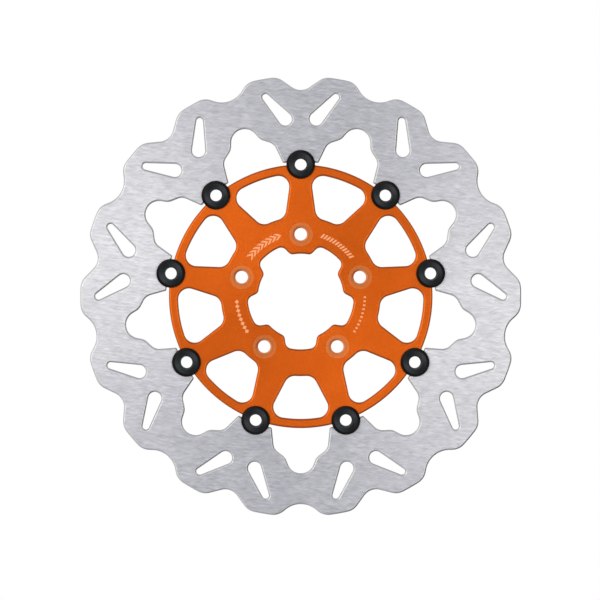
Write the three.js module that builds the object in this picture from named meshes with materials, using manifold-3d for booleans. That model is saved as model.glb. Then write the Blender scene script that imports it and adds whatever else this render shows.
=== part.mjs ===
// Floating brake disc for a motorcycle's front wheel. A wavy stainless friction band floats on an anodised
// aluminium carrier. Nine hollow drive buttons join them, half in the band and half in the carrier. Behind
// each button sit a wave washer, a flat washer and a circlip that holds the stack together.
//
// Every plate is drawn face-on in the XY plane, with Z along the disc's axis towards the button flanges.
// The last group turns that into the part's own frame: axis along Y, flanges facing -Y, +Z up.
// The origin is the disc's centre, half way through the band. Lengths are in millimetres. Angles are in
// degrees, clockwise from straight up, as seen from the flanges' side.

import * as THREE from "three";
import { mergeVertices } from "three/addons/utils/BufferGeometryUtils.js";
import Module from "manifold-3d";

const wasm = await Module();
wasm.setup();

// ---- Driving dimensions

const BUTTONS = 9;
const BUTTON_PITCH = 360 / BUTTONS;
const BUTTON_CIRCLE = 89.7; // radius of the circle through the button centres
const ARC_SAG = 0.14; // how far a facet may cut inside the arc that it stands for

const BAND = {
  thickness: 5,
  radius: 150,
  shoulderRadius: 11.25, // the round on each side of a lobe's crest
  shoulderAngle: 2.23, // from the lobe's middle to the centre of that round
  buttonValley: { bottom: 140.4, radius: 10 }, // the dip outside each button
  gapValley: { bottom: 141.4, radius: 16.1 }, // the dip half way between two buttons
  tabEnd: { distance: 91.5, angle: 7.8 }, // the tab that reaches in to a button ends in this corner
  cutFoot: { distance: 100.34, angle: 13.74, radius: 7.66 }, // the crown-shaped cut-out between two tabs
  cutWaist: { distance: 116.06, angle: 11.46, radius: 8.1 },
  cutTop: { distance: 111.26, angle: BUTTON_PITCH / 2, radius: 9.23 },
  slotOuter: { distance: 137.57, angle: 10, radius: 2.24 }, // a slot's narrow end, near a lobe's crest
  slotInner: { distance: 121.16, angle: 5, radius: 4.47 }, // and its wide end
};

const CARRIER = {
  thickness: 5.6, // thicker than the band, so that the flanges and washers seat on it and leave the band free
  radius: 89.65,
  windowOuter: 83.45,
  windowInner: 54.3,
  outerCorner: { radius: 7.3, angle: 8.54 }, // from the window's middle to the corner's centre
  innerCorner: { radius: 7.35, angle: 3.72 },
};

const HUB = {
  bolts: 5,
  padRadius: 29, // five pads locate the carrier on the wheel's spigot
  padCorner: { radius: 3.8, angle: 9.6 },
  grooveRadius: 36.13,
  grooveCorner: { radius: 4.5, angle: 25.2 },
  boltCircle: 42.25,
  boltHoleRadius: 4.25,
  chamferRadius: 5.3, // at the face
  spotFaceRadius: 8,
  spotFaceDepth: 0.2,
  seatRadius: 52, // the ring behind the bolts that rests on the wheel's hub
  seatHeight: 0.4, // above the rest of the carrier's back
};

const BUTTON = {
  barrelRadius: 6.5,
  notchRadius: 6.7, // of the half-moon notches in the band and the carrier that the barrel fills
  boreRadius: 4,
  boreChamfer: 1,
  flangeRadius: 9.8,
  flangeBevel: 1.7,
  flangeBevelDrop: 1.1,
  flangeThickness: 2.2,
  grooveDepth: 0.3, // the circlip's groove
  endLand: 0.9, // barrel left behind the groove
  endChamfer: 0.4,
};

const GAP = 0.1; // running clearance between stacked pieces
const WAVE_WASHER = { inner: 6.75, outer: 9.5, thickness: 0.4, rise: 0.4, waves: 3 };
const FLAT_WASHER = { inner: 6.7, outer: 9.8, thickness: 0.8 };
const CIRCLIP = {
  thickness: 1,
  innerRadius: 6.35,
  outerRadius: 8.1,
  outerShift: 0.35, // the ring is widest opposite its mouth
  lugRadius: 1.65,
  lugAngle: 16, // from the mouth's middle to a lug's centre
  lugHoleRadius: 0.75,
};

// Heights along the axis, from the front of the stack to the back.
const FLANGE_SEAT = CARRIER.thickness / 2 + GAP;
const FLANGE_FACE = FLANGE_SEAT + BUTTON.flangeThickness;
const WAVE_TOP = -CARRIER.thickness / 2 - GAP;
const WASHER_TOP = WAVE_TOP - WAVE_WASHER.thickness - WAVE_WASHER.rise - GAP;
const CIRCLIP_TOP = WASHER_TOP - FLAT_WASHER.thickness - GAP;
const GROOVE_TOP = CIRCLIP_TOP + GAP / 2;
const GROOVE_BOTTOM = CIRCLIP_TOP - CIRCLIP.thickness - GAP / 2;
const BARREL_END = GROOVE_BOTTOM - BUTTON.endLand;

// ---- Colours and finishes

const STAINLESS = { color: 0xc4c5c9, roughness: 0.38, metalness: 1 };
const ORANGE_ANODISED = { color: 0xd45f12, roughness: 0.45, metalness: 0.75 };
const BLACK_ANODISED = { color: 0x1c2023, roughness: 0.42, metalness: 0.6 };
const SPRING_STEEL = { color: 0x8f9297, roughness: 0.35, metalness: 1 };
const ZINC_PLATED = { color: 0xb4b6ba, roughness: 0.4, metalness: 1 };
const PHOSPHATED = { color: 0x3a3b3d, roughness: 0.55, metalness: 0.8 };

// ---- Outlines

function polar(distance, angle) {
  const turn = THREE.MathUtils.degToRad(angle);
  return { x: distance * Math.sin(turn), y: distance * Math.cos(turn) };
}

// An outline is a loop of circles. It runs round each circle and leaves on the tangent that the circle shares
// with the next. It turns left round a positive radius and right round a negative one, and a radius of 0 is
// a sharp corner.
function circle(distance, angle, radius) {
  return { ...polar(distance, angle), radius };
}

function aboutCentre(radius) {
  return { x: 0, y: 0, radius };
}

function tangentDirection(from, to) {
  const across = (to.radius - from.radius) / Math.hypot(to.x - from.x, to.y - from.y);
  return Math.atan2(to.y - from.y, to.x - from.x) - Math.asin(THREE.MathUtils.clamp(across, -1, 1));
}

function turnBetween(arriving, leaving, side) {
  const full = 2 * Math.PI;
  const turn = ((((leaving - arriving) * side) % full) + full) % full;
  return turn > full - 1e-6 ? 0 : turn * side;
}

function outlinePoints(circles) {
  const points = [];
  circles.forEach((here, i) => {
    const before = circles.at(i - 1);
    const after = circles[(i + 1) % circles.length];
    const size = Math.abs(here.radius);
    if (size === 0) {
      points.push(new THREE.Vector2(here.x, here.y));
      return;
    }
    const arriving = tangentDirection(before, here);
    const turn = turnBetween(arriving, tangentDirection(here, after), Math.sign(here.radius));
    const facets = Math.max(1, Math.ceil(Math.abs(turn) / (2 * Math.acos(1 - ARC_SAG / size))));
    for (let k = 0; k <= facets; k++) {
      const heading = arriving + (turn * k) / facets;
      const x = here.x + here.radius * Math.sin(heading);
      const y = here.y - here.radius * Math.cos(heading);
      points.push(new THREE.Vector2(x, y));
    }
  });
  const repeats = (point, i) => point.distanceTo(points.at(i - 1)) < 1e-3;
  return points.filter((point, i) => !repeats(point, i));
}

// The angle at which a circle about the disc's centre meets a button's notch.
function notchEdgeAngle(distance) {
  const { notchRadius } = BUTTON;
  const cosine =
    (distance ** 2 + BUTTON_CIRCLE ** 2 - notchRadius ** 2) / (2 * distance * BUTTON_CIRCLE);
  return THREE.MathUtils.radToDeg(Math.acos(cosine));
}

function turned(outline, angle) {
  const turn = THREE.MathUtils.degToRad(-angle);
  return outline.map((point) => point.clone().rotateAround(new THREE.Vector2(), turn));
}

function plate(outline, holes, thickness) {
  // ExtrudeGeometry turns the holes the right way round only inside an anticlockwise outline.
  const clockwise = THREE.ShapeUtils.isClockWise(outline);
  const shape = new THREE.Shape(clockwise ? outline.toReversed() : outline);
  shape.holes = holes.map((hole) => new THREE.Path(hole));
  const solid = new THREE.ExtrudeGeometry(shape, { depth: thickness, bevelEnabled: false });
  return solid.translate(0, 0, -thickness / 2);
}

// ---- Joining and cutting

function toSolid(geometry) {
  const bare = geometry.clone().deleteAttribute("normal").deleteAttribute("uv");
  const merged = mergeVertices(bare, 1e-4);
  const vertProperties = merged.attributes.position.array;
  const triVerts = new Uint32Array(merged.index.array);
  return new wasm.Manifold(new wasm.Mesh({ numProp: 3, vertProperties, triVerts }));
}

function toGeometry(solid) {
  const mesh = solid.getMesh();
  const geometry = new THREE.BufferGeometry();
  geometry.setAttribute("position", new THREE.BufferAttribute(mesh.vertProperties, 3));
  geometry.setIndex(new THREE.BufferAttribute(mesh.triVerts, 1));
  geometry.computeVertexNormals();
  return geometry;
}

// A body of revolution about Z. The profile is a list of [radius, height], anticlockwise in that plane.
function revolved(profile, facets) {
  const points = profile.map(([radius, height]) => new THREE.Vector2(radius, height));
  return new THREE.LatheGeometry(points, facets).rotateX(Math.PI / 2);
}

// ---- Friction band

function bandEdge() {
  const circles = [];
  for (let lobe = 0; lobe < 2 * BUTTONS; lobe++) {
    const middle = (lobe + 0.5) * (BUTTON_PITCH / 2);
    const shoulder = BAND.radius - BAND.shoulderRadius;
    const valley = lobe % 2 === 0 ? BAND.gapValley : BAND.buttonValley;
    circles.push(
      circle(shoulder, middle - BAND.shoulderAngle, -BAND.shoulderRadius),
      aboutCentre(-BAND.radius),
      circle(shoulder, middle + BAND.shoulderAngle, -BAND.shoulderRadius),
      circle(valley.bottom + valley.radius, middle + BUTTON_PITCH / 4, valley.radius),
    );
  }
  return outlinePoints(circles);
}

function bandInnerEdge() {
  const { tabEnd, cutFoot, cutWaist, cutTop } = BAND;
  const notchEdge = notchEdgeAngle(tabEnd.distance);
  const circles = [];
  for (let button = 0; button < BUTTONS; button++) {
    const here = button * BUTTON_PITCH;
    const next = here + BUTTON_PITCH;
    circles.push(
      circle(tabEnd.distance, here - notchEdge, 0),
      circle(BUTTON_CIRCLE, here, -BUTTON.notchRadius),
      circle(tabEnd.distance, here + notchEdge, 0),
      aboutCentre(-tabEnd.distance),
      circle(tabEnd.distance, here + tabEnd.angle, 0),
      circle(cutFoot.distance, here + cutFoot.angle, -cutFoot.radius),
      circle(cutWaist.distance, here + cutWaist.angle, cutWaist.radius),
      circle(cutTop.distance, here + cutTop.angle, -cutTop.radius),
      circle(cutWaist.distance, next - cutWaist.angle, cutWaist.radius),
      circle(cutFoot.distance, next - cutFoot.angle, -cutFoot.radius),
      circle(tabEnd.distance, next - tabEnd.angle, 0),
      aboutCentre(-tabEnd.distance),
    );
  }
  return outlinePoints(circles);
}

// The slots stand in mirrored pairs, one pair over each button.
function bandSlots() {
  const slots = [];
  for (let button = 0; button < BUTTONS; button++) {
    for (const side of [-1, 1]) {
      const ends = [BAND.slotOuter, BAND.slotInner].map((end) =>
        circle(end.distance, button * BUTTON_PITCH + side * end.angle, end.radius),
      );
      slots.push(outlinePoints(ends));
    }
  }
  return slots;
}

function frictionBand() {
  return plate(bandEdge(), [bandInnerEdge(), ...bandSlots()], BAND.thickness);
}

// ---- Carrier

function carrierRim() {
  const notchEdge = notchEdgeAngle(CARRIER.radius);
  const circles = [];
  for (let button = 0; button < BUTTONS; button++) {
    const here = button * BUTTON_PITCH;
    circles.push(
      circle(CARRIER.radius, here - notchEdge, 0),
      circle(BUTTON_CIRCLE, here, BUTTON.notchRadius),
      circle(CARRIER.radius, here + notchEdge, 0),
      aboutCentre(-CARRIER.radius),
    );
  }
  return outlinePoints(circles);
}

function carrierWindow() {
  const { windowOuter, windowInner, outerCorner, innerCorner } = CARRIER;
  const outer = (side) =>
    circle(windowOuter - outerCorner.radius, side * outerCorner.angle, outerCorner.radius);
  const inner = (side) =>
    circle(windowInner + innerCorner.radius, side * innerCorner.angle, innerCorner.radius);
  return outlinePoints([
    aboutCentre(windowOuter),
    outer(-1),
    inner(-1),
    aboutCentre(-windowInner),
    inner(1),
    outer(1),
  ]);
}

function hubHole() {
  const { padRadius, padCorner, grooveRadius, grooveCorner } = HUB;
  const circles = [];
  for (let bolt = 0; bolt < HUB.bolts; bolt++) {
    const here = (bolt * 360) / HUB.bolts;
    const pad = (side) =>
      circle(padRadius + padCorner.radius, here + side * padCorner.angle, padCorner.radius);
    const groove = (side) =>
      circle(
        grooveRadius - grooveCorner.radius,
        here + side * grooveCorner.angle,
        -grooveCorner.radius,
      );
    circles.push(groove(-1), pad(-1), aboutCentre(-padRadius), pad(1), groove(1));
    circles.push(aboutCentre(-grooveRadius));
  }
  return outlinePoints(circles);
}

// What a bolt hole takes out of the carrier: the hole, a chamfer at each face, and a shallow round spot face
// on the front for the bolt's head.
function boltHoleCutter() {
  const { boltHoleRadius, chamferRadius, spotFaceRadius, spotFaceDepth } = HUB;
  const back = -CARRIER.thickness / 2 - HUB.seatHeight;
  const seat = CARRIER.thickness / 2 - spotFaceDepth;
  const chamfer = chamferRadius - boltHoleRadius;
  const overshoot = 1;
  const facets = 20;
  const profile = [
    [0, back - overshoot],
    [chamferRadius + overshoot, back - overshoot],
    [boltHoleRadius, back + chamfer],
    [boltHoleRadius, seat - chamfer],
    [chamferRadius, seat],
    [spotFaceRadius, seat],
    [spotFaceRadius, seat + spotFaceDepth + overshoot],
    [0, seat + spotFaceDepth + overshoot],
  ];
  return revolved(profile, facets);
}

// The carrier's back is turned down outside the hub seat.
function backReliefCutter() {
  const face = -CARRIER.thickness / 2;
  const below = face - 2 * HUB.seatHeight;
  const outside = CARRIER.radius + 1;
  const profile = [
    [HUB.seatRadius, below],
    [outside, below],
    [outside, face],
    [HUB.seatRadius, face],
    [HUB.seatRadius, below],
  ];
  return revolved(profile, 60);
}

function carrier() {
  const windows = [];
  for (let button = 0; button < BUTTONS; button++) {
    windows.push(turned(carrierWindow(), (button + 0.5) * BUTTON_PITCH));
  }
  const blank = plate(
    carrierRim(),
    [hubHole(), ...windows],
    CARRIER.thickness + HUB.seatHeight,
  ).translate(0, 0, -HUB.seatHeight / 2);
  let solid = toSolid(blank).subtract(toSolid(backReliefCutter()));
  for (let bolt = 0; bolt < HUB.bolts; bolt++) {
    const { x, y } = polar(HUB.boltCircle, (bolt * 360) / HUB.bolts);
    solid = solid.subtract(toSolid(boltHoleCutter().translate(x, y, 0)));
  }
  return toGeometry(solid);
}

// ---- Drive button and what holds it

function driveButton() {
  const { barrelRadius, boreRadius, boreChamfer, flangeRadius, flangeBevel } = BUTTON;
  const grooveRadius = barrelRadius - BUTTON.grooveDepth;
  const facets = 16;
  const profile = [
    [boreRadius, BARREL_END],
    [barrelRadius - BUTTON.endChamfer, BARREL_END],
    [barrelRadius, BARREL_END + BUTTON.endChamfer],
    [barrelRadius, GROOVE_BOTTOM],
    [grooveRadius, GROOVE_BOTTOM],
    [grooveRadius, GROOVE_TOP],
    [barrelRadius, GROOVE_TOP],
    [barrelRadius, FLANGE_SEAT],
    [flangeRadius, FLANGE_SEAT],
    [flangeRadius, FLANGE_FACE - BUTTON.flangeBevelDrop],
    [flangeRadius - flangeBevel, FLANGE_FACE],
    [boreRadius + boreChamfer, FLANGE_FACE],
    [boreRadius, FLANGE_FACE - boreChamfer],
    [boreRadius, BARREL_END],
  ];
  return revolved(profile, facets);
}

function washerRing({ inner, outer, thickness }, top, facets) {
  const bottom = top - thickness;
  const profile = [
    [inner, bottom],
    [outer, bottom],
    [outer, top],
    [inner, top],
    [inner, bottom],
  ];
  return revolved(profile, facets);
}

// A flat ring of spring steel pressed into waves: each point drops by the wave's height at its angle.
function waveWasher() {
  const { rise, waves } = WAVE_WASHER;
  const facetsPerWave = 8;
  const ring = washerRing(WAVE_WASHER, WAVE_TOP, waves * facetsPerWave);
  const points = ring.attributes.position;
  for (let i = 0; i < points.count; i++) {
    const angle = Math.atan2(points.getY(i), points.getX(i));
    const drop = (rise / 2) * (1 - Math.cos(waves * angle));
    points.setZ(i, points.getZ(i) - drop);
  }
  ring.computeVertexNormals();
  return ring;
}

function flatWasher() {
  return washerRing(FLAT_WASHER, WASHER_TOP, 18);
}

// An open ring with two lugs, its mouth away from the disc's centre.
function circlip() {
  const { innerRadius, outerRadius, outerShift, lugRadius, lugAngle, lugHoleRadius } = CIRCLIP;
  const lugDistance = innerRadius + lugRadius;
  const lug = (side) => circle(lugDistance, side * lugAngle, -lugRadius);
  const outline = outlinePoints([
    { x: 0, y: -outerShift, radius: -outerRadius },
    lug(-1),
    aboutCentre(innerRadius),
    lug(1),
  ]);
  const lugHole = (side) => {
    const { x, y } = polar(lugDistance, side * lugAngle);
    return new THREE.Path().absarc(x, y, lugHoleRadius, 0, 2 * Math.PI).getPoints(3).slice(1);
  };
  const ring = plate(outline, [lugHole(-1), lugHole(1)], CIRCLIP.thickness);
  return ring.translate(0, 0, CIRCLIP_TOP - CIRCLIP.thickness / 2);
}

// ---- Assembly

const disc = new THREE.Group();
disc.rotation.x = Math.PI / 2;

function addPiece(parent, name, geometry, finish) {
  const piece = new THREE.Mesh(geometry, new THREE.MeshStandardMaterial(finish));
  piece.name = name;
  parent.add(piece);
}

addPiece(disc, "rotor_band", frictionBand(), STAINLESS);
addPiece(disc, "carrier", carrier(), ORANGE_ANODISED);

const buttonGeometry = driveButton();
const waveWasherGeometry = waveWasher();
const flatWasherGeometry = flatWasher();
const circlipGeometry = circlip();

for (let i = 0; i < BUTTONS; i++) {
  const angle = i * BUTTON_PITCH;
  const { x, y } = polar(BUTTON_CIRCLE, angle);
  const place = new THREE.Group();
  place.position.set(x, y, 0);
  place.rotation.z = THREE.MathUtils.degToRad(-angle);
  addPiece(place, `button_${i + 1}`, buttonGeometry, BLACK_ANODISED);
  addPiece(place, `wave_washer_${i + 1}`, waveWasherGeometry, SPRING_STEEL);
  addPiece(place, `flat_washer_${i + 1}`, flatWasherGeometry, ZINC_PLATED);
  addPiece(place, `circlip_${i + 1}`, circlipGeometry, PHOSPHATED);
  disc.add(place);
}

export default disc;
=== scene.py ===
"""Looks of a floating motorcycle brake disc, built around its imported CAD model.

The CAD pieces have plain edges and coarse arcs. Each is replaced here by a finer piece of the same size,
with rounded edges, more detail and a finish of its own.

Shapes are drawn face-on in millimetres: x to the right, y up, and a height towards the button flanges.
place() turns that into the frame, in metres, with the disc's axis along Y and the flanges facing -Y.
Angles are in degrees, clockwise from straight up.
"""

import math

import bpy
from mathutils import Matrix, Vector
from mathutils.geometry import tessellate_polygon


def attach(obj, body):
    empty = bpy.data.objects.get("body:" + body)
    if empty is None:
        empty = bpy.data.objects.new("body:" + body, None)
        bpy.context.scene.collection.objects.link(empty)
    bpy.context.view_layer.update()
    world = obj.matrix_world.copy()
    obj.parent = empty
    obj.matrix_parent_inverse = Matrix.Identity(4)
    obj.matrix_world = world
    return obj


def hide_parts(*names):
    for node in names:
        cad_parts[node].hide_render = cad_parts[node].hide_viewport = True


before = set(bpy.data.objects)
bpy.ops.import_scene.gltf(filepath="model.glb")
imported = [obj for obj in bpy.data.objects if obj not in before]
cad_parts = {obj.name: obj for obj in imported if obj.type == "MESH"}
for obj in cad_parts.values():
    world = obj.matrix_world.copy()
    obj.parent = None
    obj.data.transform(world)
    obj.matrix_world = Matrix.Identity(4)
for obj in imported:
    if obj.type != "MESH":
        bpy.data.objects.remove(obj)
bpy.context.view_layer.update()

# ---- Driving dimensions, in millimetres

# They are the CAD model's. The bevels are only here, and so are the rounds at the tabs' ends and at the
# buttons' notches, which give the bevels room.

MM = 0.001
BUTTONS = 9
BUTTON_PITCH = 360 / BUTTONS
BUTTON_CIRCLE = 89.7
HIDDEN_CORNER = 1.6  # radius of the plates' corners at a button's notch

BEND_STEPS = 3  # facets across the bend that softens a profile's corner
ARC_SAG = 0.008  # how far a facet may cut inside the arc that it stands for
MOST_TURN = 15  # and the most that one facet may turn, in degrees
TURN_SLIP = 1e-6  # radians: a turn that falls short of a full one by less than this is no turn
SAME_POINT = 1e-3  # points closer than this are one
ROUND_FACETS = dict(body=96, wave=144, bolt_hole=64, seat_ring=256, lug_hole=24, floor=96)  # all round

BAND = dict(
    thickness=5, radius=150, shoulder_radius=11.25, shoulder_angle=2.23,
    button_valley=dict(bottom=140.4, radius=10), gap_valley=dict(bottom=141.4, radius=16.1),
    tab_end=91.5, tab_corner=dict(distance=92.8, angle=6.98, radius=1.3),
    cut_foot=dict(distance=100.34, angle=13.74, radius=7.66),
    cut_waist=dict(distance=116.06, angle=11.46, radius=8.1),
    cut_top=dict(distance=111.26, angle=BUTTON_PITCH / 2, radius=9.23),
    slot_outer=dict(distance=137.57, angle=10, radius=2.24),
    slot_inner=dict(distance=121.16, angle=5, radius=4.47),
    bevel=dict(width=1.05, drop=0.85, soften=0.22),
)
CARRIER = dict(
    thickness=5.6, radius=89.65, window_outer=83.45, window_inner=54.3,
    outer_corner=dict(radius=7.3, angle=8.54), inner_corner=dict(radius=7.35, angle=3.72),
    bevel=dict(width=1.2, drop=0.7, soften=0.3),
)
HUB = dict(
    bolts=5, pad_radius=29, pad_corner=dict(radius=3.8, angle=9.6),
    groove_radius=36.13, groove_corner=dict(radius=4.5, angle=25.2),
    bolt_circle=42.25, bolt_hole_radius=4.25, chamfer_radius=5.3, chamfer_break=0.1,
    spot_face_radius=8, spot_face_depth=0.2, spot_face_slope=0.1, seat_radius=52, seat_height=0.4,
)
NOTCH_RADIUS = 6.7
BUTTON = dict(
    barrel_radius=6.5, bore_radius=4, bore_chamfer=1, flange_radius=9.8, flange_bevel=1.7,
    flange_bevel_drop=1.1, flange_thickness=2.2, relief_depth=0.2, relief_width=0.25,
    groove_depth=0.3, end_land=0.9, end_chamfer=0.4,
)
GAP = 0.1  # between neighbours along a button's axis
WAVE_WASHER = dict(inner=6.75, outer=9.5, thickness=0.4, soften=0.12, rise=0.4, waves=3)
FLAT_WASHER = dict(inner=6.7, outer=9.8, thickness=0.8, soften=0.22)
CIRCLIP = dict(
    thickness=1, inner_radius=6.35, outer_radius=8.1, outer_shift=0.35,
    lug_radius=1.65, lug_angle=16, lug_hole_radius=0.75,
    bevel=dict(width=0.12, drop=0.12, soften=0.06),
)

# Heights along the axis, from the front of a button's stack to its back.
FLANGE_SEAT = CARRIER["thickness"] / 2 + GAP
FLANGE_FACE = FLANGE_SEAT + BUTTON["flange_thickness"]
WAVE_TOP = -CARRIER["thickness"] / 2 - GAP
WASHER_TOP = WAVE_TOP - WAVE_WASHER["thickness"] - WAVE_WASHER["rise"] - GAP
CIRCLIP_TOP = WASHER_TOP - FLAT_WASHER["thickness"] - GAP
GROOVE_TOP = CIRCLIP_TOP + GAP / 2
GROOVE_BOTTOM = CIRCLIP_TOP - CIRCLIP["thickness"] - GAP / 2
BARREL_END = GROOVE_BOTTOM - BUTTON["end_land"]


def place(x, y, height):
    return Vector((x, -height, y)) * MM


# ---- Outlines

# An outline is a loop of circles, each (x, y, radius). It runs round each circle and leaves on the tangent
# that the circle shares with the next. It turns left round a positive radius and right round a negative one.
# Every loop runs with the metal on its right, so adding to all its radii moves it into the metal.

def polar(distance, angle):
    turn = math.radians(angle)
    return distance * math.sin(turn), distance * math.cos(turn)


def circle(distance, angle, radius):
    return (*polar(distance, angle), radius)


def about_centre(radius):
    return 0.0, 0.0, radius


def reverse(circles):
    return [(x, y, -radius) for x, y, radius in reversed(circles)]


def heading_between(start, end):
    across = (end[2] - start[2]) / math.dist(start[:2], end[:2])
    return math.atan2(end[1] - start[1], end[0] - start[0]) - math.asin(max(-1, min(1, across)))


def outline(circles):
    """The loop's points, each (x, y, inward x, inward y). Inward points into the metal."""
    points = []
    for i, here in enumerate(circles):
        before = circles[i - 1]
        after = circles[(i + 1) % len(circles)]
        x, y, radius = here
        side = math.copysign(1, radius)
        arriving = heading_between(before, here)
        turn = (heading_between(here, after) - arriving) * side % (2 * math.pi)
        if turn > 2 * math.pi - TURN_SLIP:
            turn = 0
        facet = min(2 * math.acos(1 - ARC_SAG / abs(radius)), math.radians(MOST_TURN))
        facets = math.ceil(turn / facet)
        for k in range(facets + 1):
            heading = arriving + side * turn * k / max(1, facets)
            inward = math.sin(heading), -math.cos(heading)
            points.append((x + radius * inward[0], y + radius * inward[1], *inward))
    return [p for i, p in enumerate(points) if math.dist(p[:2], points[i - 1][:2]) > SAME_POINT]


def ring_outline(x, y, radius, facets):
    """A circle of a number of facets. Its inward direction is away from its middle, as round a hole."""
    points = []
    for k in range(facets):
        turn = 2 * math.pi * k / facets
        inward = math.cos(turn), math.sin(turn)
        points.append((x + radius * inward[0], y + radius * inward[1], *inward))
    return points


def moved_in(loop, inset):
    return [(x + inset * inward_x, y + inset * inward_y) for x, y, inward_x, inward_y in loop]


def meeting_angle(distance, from_button):
    """The angle from a button at which a circle about the disc's centre meets one about the button's."""
    cosine = (distance**2 + BUTTON_CIRCLE**2 - from_button**2) / (2 * distance * BUTTON_CIRCLE)
    return math.degrees(math.acos(cosine))


# ---- Meshes

SHARP_OVER = 35  # degrees: an edge that turns by more than this stays crisp


class Shell:
    """Collects the points and faces of one closed surface."""

    def __init__(self):
        self.points = []
        self.faces = []
        self.second_finish = set()  # the faces that wear the piece's second finish

    def add_row(self, flat_points, height):
        start = len(self.points)
        self.points += [place(x, y, height) for x, y in flat_points]
        return list(range(start, len(self.points)))

    def join(self, front, back):
        """A wall between two rows. It faces left as seen along the front row."""
        count = len(front)
        for i in range(count):
            after = (i + 1) % count
            self.faces.append((front[i], front[after], back[after], back[i]))

    def wall(self, loop, profile):
        """A wall along a loop. The profile is a list of (inset, height), from the front to the back."""
        rows = [self.add_row(moved_in(loop, inset), height) for inset, height in profile]
        for front, back in zip(rows, rows[1:]):
            self.join(front, back)
        return rows[0], rows[-1]

    def cap(self, rows, facing_front):
        """A flat face between rows: the outer one first, then its holes."""
        index = [i for row in rows for i in row]
        lines = [[self.points[i] for i in row] for row in rows]
        for triangle in tessellate_polygon(lines):
            a, b, c = (index[i] for i in triangle)
            p, q, r = (self.points[i] for i in (a, b, c))
            faces_front = (q - p).cross(r - p).y < 0
            self.faces.append((a, b, c) if faces_front == facing_front else (a, c, b))

    def mesh(self, name):
        mesh = bpy.data.meshes.new(name)
        mesh.from_pydata(self.points, [], self.faces)
        for i in self.second_finish:
            mesh.polygons[i].material_index = 1
        mesh.validate()
        mesh.shade_smooth()
        mesh.set_sharp_from_angle(angle=math.radians(SHARP_OVER))
        return mesh


def round_corner(before, here, after, size):
    """A smooth bend in place of a profile's corner, starting and ending a size away from it."""
    corner = Vector(here)
    if size == 0:
        return [tuple(corner)]
    start = corner + (Vector(before) - corner).normalized() * size
    end = corner + (Vector(after) - corner).normalized() * size
    shares = [k / BEND_STEPS for k in range(BEND_STEPS + 1)]
    return [tuple(start * (1 - t) ** 2 + corner * 2 * t * (1 - t) + end * t**2) for t in shares]


def bevelled_edge(front, back, width, drop, soften):
    """The profile of a plate's edge, with a bevel on its front and its back."""
    corners = [(width, front), (0, front - drop), (0, back + drop), (width, back)]
    line = [(2 * width, front), *corners, (2 * width, back)]
    return [p for trio in zip(line, line[1:], line[2:]) for p in round_corner(*trio, soften)]


def rounded_profile(corners):
    """A closed profile of (radius, height, size): each corner gets a bend of that size."""
    points = []
    for i, (*here, size) in enumerate(corners):
        before = corners[i - 1][:2]
        after = corners[(i + 1) % len(corners)][:2]
        points += round_corner(before, here, after, size)
    return points


def revolved(name, profile, facets=ROUND_FACETS["body"], wave=None):
    """A body turned about its own axis, at the origin.

    The profile runs anticlockwise in (radius, height). A wave lowers it by an amount that varies with the
    angle."""
    shell = Shell()
    rows = []
    for radius, height in profile:
        start = len(shell.points)
        for k in range(facets):
            turn = 2 * math.pi * k / facets
            drop = wave(turn) if wave else 0
            shell.points.append(place(radius * math.sin(turn), radius * math.cos(turn), height - drop))
        rows.append(list(range(start, len(shell.points))))
    for row, after in zip(rows, rows[1:] + rows[:1]):
        shell.join(after, row)
    return shell.mesh(name)


def show(mesh, name, finishes, body, node=None, at=(0, 0), angle=0):
    """Puts a mesh in the scene as a piece of the object, turned clockwise by an angle."""
    piece = bpy.data.objects.new(name, mesh)
    if not mesh.materials:
        for finish in finishes:
            mesh.materials.append(finish)
    piece.location = place(*at, 0)
    piece.rotation_euler.y = math.radians(angle)
    bpy.context.scene.collection.objects.link(piece)
    piece.modifiers.new("flat_faces_stay_flat", "WEIGHTED_NORMAL").keep_sharp = True
    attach(piece, body)
    if node:
        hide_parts(node)


# ---- Friction band

def band_edge():
    """The wavy outside: two lobes to each button, with a valley after each."""
    circles = []
    for lobe in range(2 * BUTTONS):
        middle = (lobe + 0.5) * BUTTON_PITCH / 2
        shoulder = BAND["radius"] - BAND["shoulder_radius"]
        valley = BAND["button_valley"] if lobe % 2 else BAND["gap_valley"]
        circles += [
            circle(shoulder, middle - BAND["shoulder_angle"], -BAND["shoulder_radius"]),
            about_centre(-BAND["radius"]),
            circle(shoulder, middle + BAND["shoulder_angle"], -BAND["shoulder_radius"]),
            circle(valley["bottom"] + valley["radius"], middle + BUTTON_PITCH / 4, valley["radius"]),
        ]
    return outline(circles)


def band_inner_edge():
    """The inside: a tab to each button, ending in a half-moon notch, and a crown-shaped cut-out between."""

    def cut(spot, angle, side):
        return circle(spot["distance"], angle, side * spot["radius"])

    corner = BAND["tab_corner"]
    foot, waist, top = BAND["cut_foot"], BAND["cut_waist"], BAND["cut_top"]
    inside = BAND["tab_end"] + HIDDEN_CORNER
    notch_corner = meeting_angle(inside, NOTCH_RADIUS + HIDDEN_CORNER)
    circles = []
    for button in range(BUTTONS):
        here = button * BUTTON_PITCH
        after = here + BUTTON_PITCH
        circles += [
            circle(inside, here - notch_corner, HIDDEN_CORNER),
            circle(BUTTON_CIRCLE, here, -NOTCH_RADIUS),
            circle(inside, here + notch_corner, HIDDEN_CORNER),
            about_centre(-BAND["tab_end"]),
            cut(corner, here + corner["angle"], 1),
            cut(foot, here + foot["angle"], -1),
            cut(waist, here + waist["angle"], 1),
            cut(top, here + top["angle"], -1),
            cut(waist, after - waist["angle"], 1),
            cut(foot, after - foot["angle"], -1),
            cut(corner, after - corner["angle"], 1),
            about_centre(-BAND["tab_end"]),
        ]
    return outline(reverse(circles))


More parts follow.
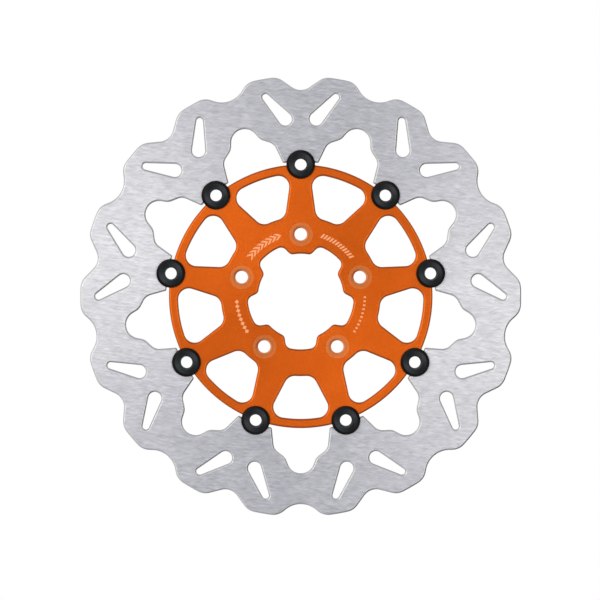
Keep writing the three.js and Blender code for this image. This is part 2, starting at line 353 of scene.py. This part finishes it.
def band_slots():
    """Two tapered slots to each button, leaning apart."""
    slots = []
    for button in range(BUTTONS):
        here = button * BUTTON_PITCH
        for side in (-1, 1):
            ends = [
                circle(end["distance"], here + side * end["angle"], end["radius"])
                for end in (BAND["slot_outer"], BAND["slot_inner"])
            ]
            slots.append(outline(ends))
    return slots


def make_band(finish):
    shell = Shell()
    half = BAND["thickness"] / 2
    profile = bevelled_edge(half, -half, **BAND["bevel"])
    loops = [band_edge(), band_inner_edge(), *band_slots()]
    ends = [shell.wall(loop, profile) for loop in loops]
    shell.cap([front for front, back in ends], facing_front=True)
    shell.cap([back for front, back in ends], facing_front=False)
    show(shell.mesh("friction_band"), "friction_band", [finish], "band", "rotor_band")


# ---- Carrier

def carrier_rim():
    inside = CARRIER["radius"] - HIDDEN_CORNER
    notch_corner = meeting_angle(inside, NOTCH_RADIUS + HIDDEN_CORNER)
    circles = []
    for button in range(BUTTONS):
        here = button * BUTTON_PITCH
        circles += [
            circle(inside, here - notch_corner, -HIDDEN_CORNER),
            circle(BUTTON_CIRCLE, here, NOTCH_RADIUS),
            circle(inside, here + notch_corner, -HIDDEN_CORNER),
            about_centre(-CARRIER["radius"]),
        ]
    return outline(circles)


def carrier_window(middle):
    outer_corner, inner_corner = CARRIER["outer_corner"], CARRIER["inner_corner"]

    def outer(side):
        distance = CARRIER["window_outer"] - outer_corner["radius"]
        return circle(distance, middle + side * outer_corner["angle"], outer_corner["radius"])

    def inner(side):
        distance = CARRIER["window_inner"] + inner_corner["radius"]
        return circle(distance, middle + side * inner_corner["angle"], inner_corner["radius"])

    arcs = about_centre(CARRIER["window_outer"]), about_centre(-CARRIER["window_inner"])
    return outline([arcs[0], outer(-1), inner(-1), arcs[1], inner(1), outer(1)])


def hub_hole():
    """The bore: five pads that sit on the hub's spigot, and a groove between each two."""
    pad_corner, groove_corner = HUB["pad_corner"], HUB["groove_corner"]
    circles = []
    for bolt in range(HUB["bolts"]):
        here = bolt * 360 / HUB["bolts"]

        def pad(side):
            distance = HUB["pad_radius"] + pad_corner["radius"]
            return circle(distance, here + side * pad_corner["angle"], pad_corner["radius"])

        def groove(side):
            distance = HUB["groove_radius"] - groove_corner["radius"]
            return circle(distance, here + side * groove_corner["angle"], -groove_corner["radius"])

        circles += [groove(-1), pad(-1), about_centre(-HUB["pad_radius"]), pad(1), groove(1)]
        circles.append(about_centre(-HUB["groove_radius"]))
    return outline(reverse(circles))


def bolt_hole_profile(front, back):
    """From the front: a shallow spot face for the bolt's head, a chamfer, the hole, and a chamfer."""
    chamfer = HUB["chamfer_radius"] - HUB["bolt_hole_radius"]
    spot = HUB["spot_face_radius"] - HUB["bolt_hole_radius"]
    seat = front - HUB["spot_face_depth"]
    slope, rim = HUB["spot_face_slope"], HUB["chamfer_break"]
    return [
        (spot + slope, front),
        (spot, (front + seat) / 2),
        (spot - slope, seat),
        (chamfer + rim, seat),
        (chamfer - rim, seat - 2 * rim),
        (0, seat - chamfer),
        (0, back + chamfer),
        (chamfer, back),
    ]


def make_carrier(finish, spot_face_finish):
    shell = Shell()
    front = CARRIER["thickness"] / 2
    back = -front
    seat = back - HUB["seat_height"]

    through = bevelled_edge(front, back, **CARRIER["bevel"])
    outer_loops = [carrier_rim()]
    outer_loops += [carrier_window((button + 0.5) * BUTTON_PITCH) for button in range(BUTTONS)]
    outer = [shell.wall(loop, through) for loop in outer_loops]
    inner = [shell.wall(hub_hole(), bevelled_edge(front, seat, **CARRIER["bevel"]))]
    for bolt in range(HUB["bolts"]):
        x, y = polar(HUB["bolt_circle"], bolt * 360 / HUB["bolts"])
        hole = ring_outline(x, y, HUB["bolt_hole_radius"], ROUND_FACETS["bolt_hole"])
        first = len(shell.faces)
        inner.append(shell.wall(hole, bolt_hole_profile(front, seat)))
        shell.second_finish.update(range(first, len(shell.faces)))

    # The raised ring on the back that rests on the wheel's hub, with a small fillet at its foot.
    step = ring_outline(0, 0, HUB["seat_radius"], ROUND_FACETS["seat_ring"])
    bend = HUB["seat_height"] / 4
    fillet = [(2 * bend, back), (bend, back - bend), (0, seat + bend), (-bend, seat)]
    foot, rim = shell.wall(step, fillet)

    shell.cap([front_row for front_row, back_row in outer + inner], facing_front=True)
    shell.cap([back_row for front_row, back_row in outer] + [foot], facing_front=False)
    shell.cap([rim] + [back_row for front_row, back_row in inner], facing_front=False)
    finishes = [finish, spot_face_finish]
    show(shell.mesh("spoked_carrier"), "spoked_carrier", finishes, "carrier", "carrier")


# ---- Marks on the carrier

MARK_CIRCLE = 43.6
MARK_HEIGHT = 0.03  # how far they stand off the face, and how far they reach below it

# Each group's middle and pitch are angles round the disc. The rest are millimetres.
CHEVRONS = dict(middle=-36, pitch=4.3, count=8), dict(size=4.4, weight=2.0)
SLANTED_BARS = dict(middle=36, pitch=2.9, count=12), dict(width=1.3, half=1.6, lean=0.6)
DIAMONDS = dict(middle=-109, pitch=4, count=8), dict(half=1.5)
SHORT_BARS = dict(middle=107, pitch=3.6, count=10), dict(width=1.2, half=0.8, lean=0)


def make_marks(finish):
    """Four groups of plain shapes along the bolt circle, between the bolt holes."""
    shell = Shell()
    front = CARRIER["thickness"] / 2

    def add_shape(angle, corners):
        """A thin plate. Its corners are (along, out), anticlockwise as seen from the front."""
        turn = math.radians(angle)
        flat = []
        for along, out in corners:
            distance = MARK_CIRCLE + out
            flat.append((
                distance * math.sin(turn) + along * math.cos(turn),
                distance * math.cos(turn) - along * math.sin(turn),
            ))
        top = shell.add_row(flat, front + MARK_HEIGHT)
        bottom = shell.add_row(flat, front - MARK_HEIGHT)
        shell.join(bottom, top)
        shell.cap([top], facing_front=True)
        shell.cap([bottom], facing_front=False)

    def bar(angle, width, half, lean):
        side = width / 2
        foot = (-side - lean, -half), (side - lean, -half)
        head = (side + lean, half), (-side + lean, half)
        add_shape(angle, [*foot, *head])

    def diamond(angle, half):
        add_shape(angle, [(0, -half), (half, 0), (0, half), (-half, 0)])

    def chevron(angle, size, weight):
        half, tip, side = size / 2, size / 3, weight / 2
        add_shape(angle, [
            (-tip - side, -half), (-tip + side, -half), (tip + side, 0),
            (-tip + side, half), (-tip - side, half), (tip - side, 0),
        ])

    groups = (chevron, CHEVRONS), (bar, SLANTED_BARS), (diamond, DIAMONDS), (bar, SHORT_BARS)
    for add, (spread, size) in groups:
        for k in range(spread["count"]):
            from_middle = k - (spread["count"] - 1) / 2
            add(spread["middle"] + from_middle * spread["pitch"], **size)
    show(shell.mesh("carrier_marks"), "carrier_marks", [finish], "carrier")


# ---- Drive buttons and what holds them

def button_mesh():
    """A hollow bobbin. The relief under its flange clears the notches' edges."""
    b = BUTTON
    bevel, drop, chamfer = b["flange_bevel"], b["flange_bevel_drop"], b["bore_chamfer"]
    barrel, flange, bore = b["barrel_radius"], b["flange_radius"], b["bore_radius"]
    groove = barrel - b["groove_depth"]
    return revolved("drive_button", rounded_profile([
        (bore, BARREL_END, 0.2),
        (barrel - b["end_chamfer"], BARREL_END, 0.08),
        (barrel, BARREL_END + b["end_chamfer"], 0.08),
        (barrel, GROOVE_BOTTOM, 0.05),
        (groove, GROOVE_BOTTOM, 0),
        (groove, GROOVE_TOP, 0),
        (barrel, GROOVE_TOP, 0.05),
        (barrel, FLANGE_SEAT - b["relief_width"], 0.1),
        (barrel - b["relief_depth"], FLANGE_SEAT, 0),
        (flange, FLANGE_SEAT, 0.25),
        (flange, FLANGE_FACE - drop, 0.3),
        (flange - bevel, FLANGE_FACE, 0.35),
        (bore + chamfer, FLANGE_FACE, 0.12),
        (bore, FLANGE_FACE - chamfer, 0.12),
    ]))


def washer_profile(size, top):
    inner, outer, soften = size["inner"], size["outer"], size["soften"]
    bottom = top - size["thickness"]
    corners = (inner, bottom), (outer, bottom), (outer, top), (inner, top)
    return rounded_profile([(*corner, soften) for corner in corners])


def wave_washer_mesh():
    def wave(turn):
        return WAVE_WASHER["rise"] / 2 * (1 - math.cos(WAVE_WASHER["waves"] * (math.pi / 2 - turn)))

    return revolved("wave_washer", washer_profile(WAVE_WASHER, WAVE_TOP), ROUND_FACETS["wave"], wave)


def flat_washer_mesh():
    return revolved("flat_washer", washer_profile(FLAT_WASHER, WASHER_TOP))


def circlip_mesh():
    """An open ring with two lugs, thickest opposite its mouth, which is away from the disc's centre."""
    c = CIRCLIP
    lug_distance = c["inner_radius"] + c["lug_radius"]
    lugs = [circle(lug_distance, side * c["lug_angle"], -c["lug_radius"]) for side in (-1, 1)]
    outer = 0, -c["outer_shift"], -c["outer_radius"]
    ring = outline([outer, lugs[0], about_centre(c["inner_radius"]), lugs[1]])
    holes = [ring_outline(x, y, c["lug_hole_radius"], ROUND_FACETS["lug_hole"]) for x, y, radius in lugs]
    shell = Shell()
    profile = bevelled_edge(CIRCLIP_TOP, CIRCLIP_TOP - c["thickness"], **c["bevel"])
    ends = [shell.wall(loop, profile) for loop in [ring, *holes]]
    shell.cap([front for front, back in ends], facing_front=True)
    shell.cap([back for front, back in ends], facing_front=False)
    return shell.mesh("circlip")


def make_buttons(finishes):
    """Each button with its stack, which turns with it."""
    stack = [
        ("drive_button", "button", button_mesh(), "button_anodised"),
        ("spring_washer", "wave_washer", wave_washer_mesh(), "wave_washer_steel"),
        ("backing_washer", "flat_washer", flat_washer_mesh(), "flat_washer_steel"),
        ("retaining_clip", "circlip", circlip_mesh(), "circlip_steel"),
    ]
    for i in range(BUTTONS):
        angle = i * BUTTON_PITCH
        at = polar(BUTTON_CIRCLE, angle)
        number = i + 1
        for name, node, mesh, slot in stack:
            body, stands_for = f"button_{number}", f"{node}_{number}"
            show(mesh, f"{name}_{number}", [finishes[slot]], body, stands_for, at, angle)


# ---- Finishes

class Nodes:
    """A node tree, and short ways to add nodes to it."""

    def __init__(self, tree):
        self.nodes = tree.nodes
        self.links = tree.links

    def node(self, kind, settings=None, **inputs):
        made = self.nodes.new(kind)
        for setting, value in (settings or {}).items():
            setattr(made, setting, value)
        for socket, value in inputs.items():
            self.feed(made.inputs[socket.replace("_", " ").title()], value)
        return made

    def feed(self, socket, value):
        if isinstance(value, bpy.types.NodeSocket):
            self.links.new(value, socket)
        else:
            socket.default_value = value

    def compute(self, operation, first, second=0.0):
        made = self.node("ShaderNodeMath", {"operation": operation})
        self.feed(made.inputs[0], first)
        self.feed(made.inputs[1], second)
        return made.outputs[0]

    def span(self, value, low, high, to_low=0.0, to_high=1.0, smooth=False):
        made = self.node("ShaderNodeMapRange", {"interpolation_type": "SMOOTHSTEP" if smooth else "LINEAR"})
        for socket, number in zip(made.inputs[:5], (value, low, high, to_low, to_high)):
            self.feed(socket, number)
        return made.outputs[0]

    def blend(self, share, first, second):
        made = self.node("ShaderNodeMix", {"data_type": "RGBA"})
        for socket, value in zip((made.inputs[0], made.inputs[6], made.inputs[7]), (share, first, second)):
            self.feed(socket, value)
        return made.outputs[2]


class Finish(Nodes):
    """A material. What is the same all over it is set on the shader's own sockets."""

    def __init__(self, name, **uniform):
        self.material = bpy.data.materials.new(name)
        self.material.use_nodes = True
        super().__init__(self.material.node_tree)
        self.shader = self.nodes["Principled BSDF"]
        for socket, value in uniform.items():
            self.shader.inputs[socket.replace("_", " ").title()].default_value = value
        self.position = self.node("ShaderNodeTexCoord").outputs["Object"]
        self.facing = self.node("ShaderNodeTexCoord").outputs["Normal"]

    def noise(self, scale, detail=3, stretch=(1, 1, 1), tilt=0.0, rough=0.5):
        """Noise in the piece's own space, 0 to 1. The scale is in features per metre.

        The features are longer by the stretch, and then tilted down to the right by an angle."""
        turn = 0, math.radians(tilt), 0
        as_size = {"vector_type": "TEXTURE"}
        spread = self.node("ShaderNodeMapping", as_size, Vector=self.position, Scale=stretch, Rotation=turn)
        spot = spread.outputs[0]
        made = self.node("ShaderNodeTexNoise", Vector=spot, Scale=scale, Detail=detail, Roughness=rough)
        return made.outputs["Fac"]

    def noise_along(self, distance, scale):
        """Noise that varies only with a distance."""
        in_a_line = {"noise_dimensions": "1D"}
        return self.node("ShaderNodeTexNoise", in_a_line, W=distance, Scale=scale, Detail=3).outputs["Fac"]

    def length(self, first, second):
        """The length of a vector with two parts."""
        squares = self.compute("MULTIPLY", first, first), self.compute("MULTIPLY", second, second)
        return self.compute("SQRT", self.compute("ADD", *squares))

    def radius(self):
        """Distance from the piece's Y axis."""
        x, y, z = self.node("ShaderNodeSeparateXYZ", Vector=self.position).outputs
        return self.length(x, z)

    def from_bolt(self):
        """Distance from the nearest bolt hole's axis."""
        x, y, z = self.node("ShaderNodeSeparateXYZ", Vector=self.position).outputs
        turn = self.compute("PINGPONG", self.compute("ARCTAN2", x, z), math.pi / HUB["bolts"])
        across = self.compute("MULTIPLY", self.radius(), self.compute("SINE", turn))
        outward = self.compute("MULTIPLY", self.radius(), self.compute("COSINE", turn))
        return self.length(across, self.compute("SUBTRACT", outward, HUB["bolt_circle"] * MM))

    def on_faces(self):
        """1 on the flat front and back, 0 on the edges."""
        x, y, z = self.node("ShaderNodeSeparateXYZ", Vector=self.facing).outputs
        return self.span(self.compute("ABSOLUTE", y), 0.85, 0.97)

    def bump(self, height, distance, after=None):
        """A relief of a height from 0 to 1 times a distance in metres, on top of another bump."""
        made = self.node("ShaderNodeBump", Height=height, Distance=distance, Strength=1.0)
        if after:
            self.links.new(after, made.inputs["Normal"])
        return made.outputs[0]

    def mix(self, share, first, second):
        """The first of two amounts by a share of the whole, and the second by the rest."""
        parts = self.compute("MULTIPLY", first, share), self.compute("MULTIPLY", second, 1 - share)
        return self.compute("ADD", *parts)

    def set(self, socket, value):
        self.feed(self.shader.inputs[socket], value)

    def brush_round(self):
        """Turns the anisotropic sheen round the piece's Y axis."""
        round_axis = self.node("ShaderNodeTangent", {"direction_type": "RADIAL", "axis": "Y"})
        self.set("Tangent", round_axis.outputs[0])


def grey(value, blue=0.0):
    return value, value, value * (1 + blue), 1


GRAIN_TILT = 7  # degrees, down to the right
CROSSING_TILT = -20


def band_finish():
    """Ground stainless steel with a straight grain, and laser-cut edges: striped by the cut, and painted a
    darker grey than the faces as shade.
    """
    f = Finish("band_steel", metallic=1.0, anisotropic=0.5, anisotropic_rotation=0.25)
    f.brush_round()
    coarse = f.noise(680, stretch=(4, 1, 1), tilt=GRAIN_TILT, rough=0.55)
    hairs = f.noise(1400, stretch=(8, 1, 1), tilt=GRAIN_TILT, rough=0.6)
    crossing = f.noise(1300, stretch=(6, 1, 1), tilt=CROSSING_TILT, rough=0.6)
    clouds = f.noise(60)
    grain = f.mix(0.35, coarse, f.mix(0.6, hairs, crossing))
    cut = f.noise(2600, stretch=(1, 16, 1))
    faces = f.on_faces()
    ground = f.blend(f.span(grain, 0.36, 0.64), grey(0.50, 0.02), grey(0.76, 0.02))
    mottled = f.blend(f.span(clouds, 0.3, 0.7, 0, 0.3), ground, grey(0.56, 0.04))
    # The edges' stripes are the cut's own. Their grey, darker than the faces', is painted shade.
    edge = f.blend(f.span(cut, 0.3, 0.7), grey(0.47), grey(0.57))
    f.set("Base Color", f.blend(faces, edge, mottled))
    smoothest, roughest = 0.38, 0.48
    on_face = f.span(grain, 0.36, 0.64, smoothest, roughest)
    f.set("Roughness", f.span(faces, 0, 1, smoothest, on_face))
    across = f.compute("MULTIPLY", grain, faces)
    along = f.compute("MULTIPLY", cut, f.compute("SUBTRACT", 1.0, faces))
    f.set("Normal", f.bump(across, 8e-6, after=f.bump(along, 3e-5)))
    return f.material


# How far the painted shade round a bolt hole reaches.
PAINTED_SHADE_WIDTH = 1.5  # from a bolt hole's chamfer outwards, in millimetres


def anodised(name, deep, pale, edge, roughness, painted_shade_ring=None):
    """Satin anodised aluminium: a fine blasted grain under a clear dye, and, if a colour is given, a darker
    ring of painted shade round each bolt hole.
    """
    f = Finish(name, metallic=1.0, anisotropic=0.26, anisotropic_rotation=0.36)
    f.brush_round()
    grain = f.noise(2000, detail=2)
    clouds = f.noise(45)
    dyed = f.blend(f.span(f.mix(0.6, grain, clouds), 0.35, 0.65), deep, pale)
    # A darker ring painted round each bolt hole, as the shade beside its chamfer.
    if painted_shade_ring:
        rim = HUB["chamfer_radius"] * MM
        dyed = f.blend(f.span(f.from_bolt(), rim, rim + PAINTED_SHADE_WIDTH * MM, smooth=True), painted_shade_ring, dyed)
    # The edges take their own colour. On the carrier it is a darker brown, which is painted shade.
    f.set("Base Color", f.blend(f.on_faces(), edge, dyed))
    f.set("Roughness", f.span(grain, 0.3, 0.7, roughness - 0.04, roughness + 0.04))
    f.set("Normal", f.bump(grain, 1.2e-5, after=f.bump(clouds, 1e-5)))
    return f.material


def carrier_finish():
    return anodised(
        "carrier_anodised", roughness=0.42,
        # edge: a darker brown on the bevels and walls, painted shade
        deep=(0.66, 0.110, 0.008, 1), pale=(0.78, 0.138, 0.012, 1), edge=(0.37, 0.08, 0.017, 1),
    )


def spot_face_finish():
    """The bolts' seats, where the cutter went through the blasted skin before the dye."""
    return anodised(
        "spot_face_anodised", roughness=0.38,
        deep=(0.73, 0.180, 0.036, 1), pale=(0.86, 0.220, 0.052, 1), edge=(0.82, 0.32, 0.13, 1),
        # a darker brown ring round each hole, painted shade
        painted_shade_ring=(0.56, 0.19, 0.06, 1),
    )


def marks_finish():
    """The dye bleached by a laser."""
    f = Finish("etched_marks", metallic=0.5, roughness=0.6)
    grain = f.noise(4000, detail=2)
    f.set("Base Color", f.blend(f.span(grain, 0.3, 0.7), (0.78, 0.30, 0.12, 1), (0.88, 0.40, 0.19, 1)))
    f.set("Normal", f.bump(grain, 1e-5))
    return f.material


def button_finish():
    """Black anodised aluminium, turned on a lathe, with the bevel painted blacker as shade, and the bore
    painted paler as light.
    """
    f = Finish("button_anodised", metallic=1.0, anisotropic=1.0, anisotropic_rotation=0.125)
    f.brush_round()
    radius = f.radius()
    rings = f.noise_along(radius, 3200)
    mixed = f.span(f.mix(0.7, rings, f.noise(900, detail=2)), 0.3, 0.7)
    turned = f.blend(mixed, (0.023, 0.027, 0.029, 1), (0.046, 0.053, 0.056, 1))
    # Painted shade: the bevel and the sides are blacker than the turned face.
    black = (0.017, 0.0145, 0.0135, 1)
    bore_edge = (BUTTON["bore_radius"] + BUTTON["bore_chamfer"]) * MM
    bevel_edge = (BUTTON["flange_radius"] - BUTTON["flange_bevel"]) * MM
    fade = 0.5 * MM
    # Painted light: the bore and its chamfer are a paler grey, for the light that the chamfer catches.
    edge = f.blend(f.span(radius, bore_edge, bore_edge + fade), grey(0.075), black)
    flat = f.blend(f.span(radius, bevel_edge - fade, bevel_edge), turned, black)
    f.set("Base Color", f.blend(f.on_faces(), edge, flat))
    f.set("Roughness", f.span(mixed, 0, 1, 0.40, 0.50))
    f.set("Normal", f.bump(rings, 2e-5))
    return f.material


def sheet_finish(name, dark, light, smoothest, roughest, metallic=1.0):
    """Sheet metal with faint clouds and small pits."""
    f = Finish(name, metallic=metallic)
    pits = f.noise(5200, detail=2)
    mixed = f.mix(0.6, f.noise(420), pits)
    f.set("Base Color", f.blend(f.span(mixed, 0.35, 0.65), dark, light))
    f.set("Roughness", f.span(mixed, 0.35, 0.65, smoothest, roughest))
    f.set("Normal", f.bump(pits, 1e-5))
    return f.material


CIRCLIP_METALLIC = 0.7  # less than the others, for its black oxide


def small_finishes():
    """The finishes of a button's stack, by the material slot that each stands in for."""
    sheets = {
        "wave_washer_steel": (grey(0.36), grey(0.46), 0.26, 0.36),
        "flat_washer_steel": (grey(0.46, 0.03), grey(0.58, 0.04), 0.32, 0.45),
        "circlip_steel": (grey(0.035), grey(0.07), 0.42, 0.6, CIRCLIP_METALLIC),
    }
    finishes = {slot: sheet_finish(slot, *given) for slot, given in sheets.items()}
    finishes["button_anodised"] = button_finish()
    return finishes


# ---- Stage, light and camera

# In metres.
FLOOR_HEIGHT = -0.26
FLOOR_RADIUS = 0.56
FLOOR_PLAIN = 0.25  # out to here it is plain, and from here it fades into the white around it
FLOOR_FADED = 0.97 * FLOOR_RADIUS
CAMERA_DISTANCE = 2.5
CAMERA_OFFSET = (-0.0005, -0.0025)  # to the right of the disc's centre, and above it
HALF_VIEW = 0.2042  # half the height of the view, at the disc

# What the metal reflects. Before and behind the disc, the studio's left and right are brighter and warmer
# than its ceiling and floor. In the disc's own plane it is evenly bright, except for a dark lower right.
COOL = (0.885, 0.90, 1.0, 1)
WARM = (0.97, 0.96, 0.94, 1)
OFF_PLANE = (0.25, 0.95)  # where the plane's light starts to give way to the rest, and where it ends
CORNER = (0.87, 0.0, -0.49)
CORNER_FALL = (0.2, 0.95, 0.88, 0.06)  # where the fall to the corner starts and ends, and its strengths
SIDES = (0.985, 0.0, -0.174)
SIDES_RISE = (0.0, 0.8, 0.49, 2.45)  # the same for the rise to the sides

LIGHTS = {
    # the direction from the disc: a clock angle, and the angle off the disc's axis
    "key": dict(clock=288, off_axis=42, power=18, colour=(1, 0.985, 0.92)),
    "side": dict(clock=92, off_axis=38, power=9, colour=(1, 0.985, 0.92)),
}
LIGHT_DISTANCE = 3
LIGHT_SIZE = 1.7


def make_floor():
    facets = ROUND_FACETS["floor"]
    mesh = bpy.data.meshes.new("floor")
    turns = [2 * math.pi * k / facets for k in range(facets)]
    rim = [(FLOOR_RADIUS * math.cos(turn), FLOOR_RADIUS * math.sin(turn), 0) for turn in turns]
    mesh.from_pydata(rim, [], [tuple(range(facets))])
    floor = bpy.data.objects.new("floor", mesh)
    floor.location.z = FLOOR_HEIGHT
    floor.visible_glossy = False  # the metal reflects the studio instead
    bpy.context.scene.collection.objects.link(floor)
    f = Finish("floor_white", roughness=0.9)
    from_middle = f.node("ShaderNodeVectorMath", {"operation": "LENGTH"}, Vector=f.position).outputs["Value"]
    fade = f.span(from_middle, FLOOR_PLAIN, FLOOR_FADED)
    plain = f.blend(f.noise(3, detail=2), grey(0.84), grey(0.88))
    f.set("Base Color", f.blend(fade, plain, grey(0)))
    f.set("Emission Color", grey(1))
    f.set("Emission Strength", fade)
    mesh.materials.append(f.material)


def make_world():
    world = bpy.data.worlds.new("studio")
    bpy.context.scene.world = world
    world.use_nodes = True
    w = Nodes(world.node_tree)
    direction = w.node("ShaderNodeTexCoord").outputs["Generated"]

    def towards(point):
        made = w.node("ShaderNodeVectorMath", {"operation": "DOT_PRODUCT"})
        w.feed(made.inputs[0], direction)
        w.feed(made.inputs[1], point)
        return made.outputs["Value"]

    off_plane = w.compute("ABSOLUTE", towards((0, 1, 0)))
    sideways = w.compute("ABSOLUTE", towards(SIDES))
    in_plane = w.span(towards(CORNER), *CORNER_FALL, smooth=True)
    before_and_behind = w.span(sideways, *SIDES_RISE, smooth=True)
    strength = w.span(off_plane, *OFF_PLANE, in_plane, before_and_behind, smooth=True)
    colour = w.blend(w.span(sideways, *SIDES_RISE[:2]), COOL, WARM)

    # The camera sees plain white instead.
    lit = w.node("ShaderNodeBackground", Color=colour, Strength=strength)
    shown = w.node("ShaderNodeBackground", Color=grey(1))
    chosen = w.node("ShaderNodeMixShader")
    seen = w.node("ShaderNodeLightPath").outputs["Is Camera Ray"]
    for socket, value in zip(chosen.inputs, (seen, lit.outputs[0], shown.outputs[0])):
        w.feed(socket, value)
    w.feed(w.nodes["World Output"].inputs["Surface"], chosen.outputs[0])


def make_lights():
    for name, given in LIGHTS.items():
        light = bpy.data.lights.new(name, "AREA")
        light.size = LIGHT_SIZE
        light.energy = given["power"]
        light.color = given["colour"]
        lamp = bpy.data.objects.new(name, light)
        clock, off = math.radians(given["clock"]), math.radians(given["off_axis"])
        toward = Vector((math.sin(clock) * math.sin(off), -math.cos(off), math.cos(clock) * math.sin(off)))
        lamp.location = toward * LIGHT_DISTANCE
        lamp.rotation_euler = toward.to_track_quat("Z", "Y").to_euler()
        bpy.context.scene.collection.objects.link(lamp)


def make_camera():
    camera = bpy.data.cameras.new("camera")
    camera.lens = camera.sensor_width / 2 * CAMERA_DISTANCE / HALF_VIEW
    stand = bpy.data.objects.new("camera", camera)
    stand.location = (CAMERA_OFFSET[0], -CAMERA_DISTANCE, CAMERA_OFFSET[1])
    stand.rotation_euler = (math.radians(90), 0, 0)
    bpy.context.scene.collection.objects.link(stand)
    bpy.context.scene.camera = stand


make_camera()
make_world()
make_lights()
make_floor()
make_band(band_finish())
make_carrier(carrier_finish(), spot_face_finish())
make_marks(marks_finish())
make_buttons(small_finishes())
bpy.context.scene.view_settings.view_transform = "Standard"
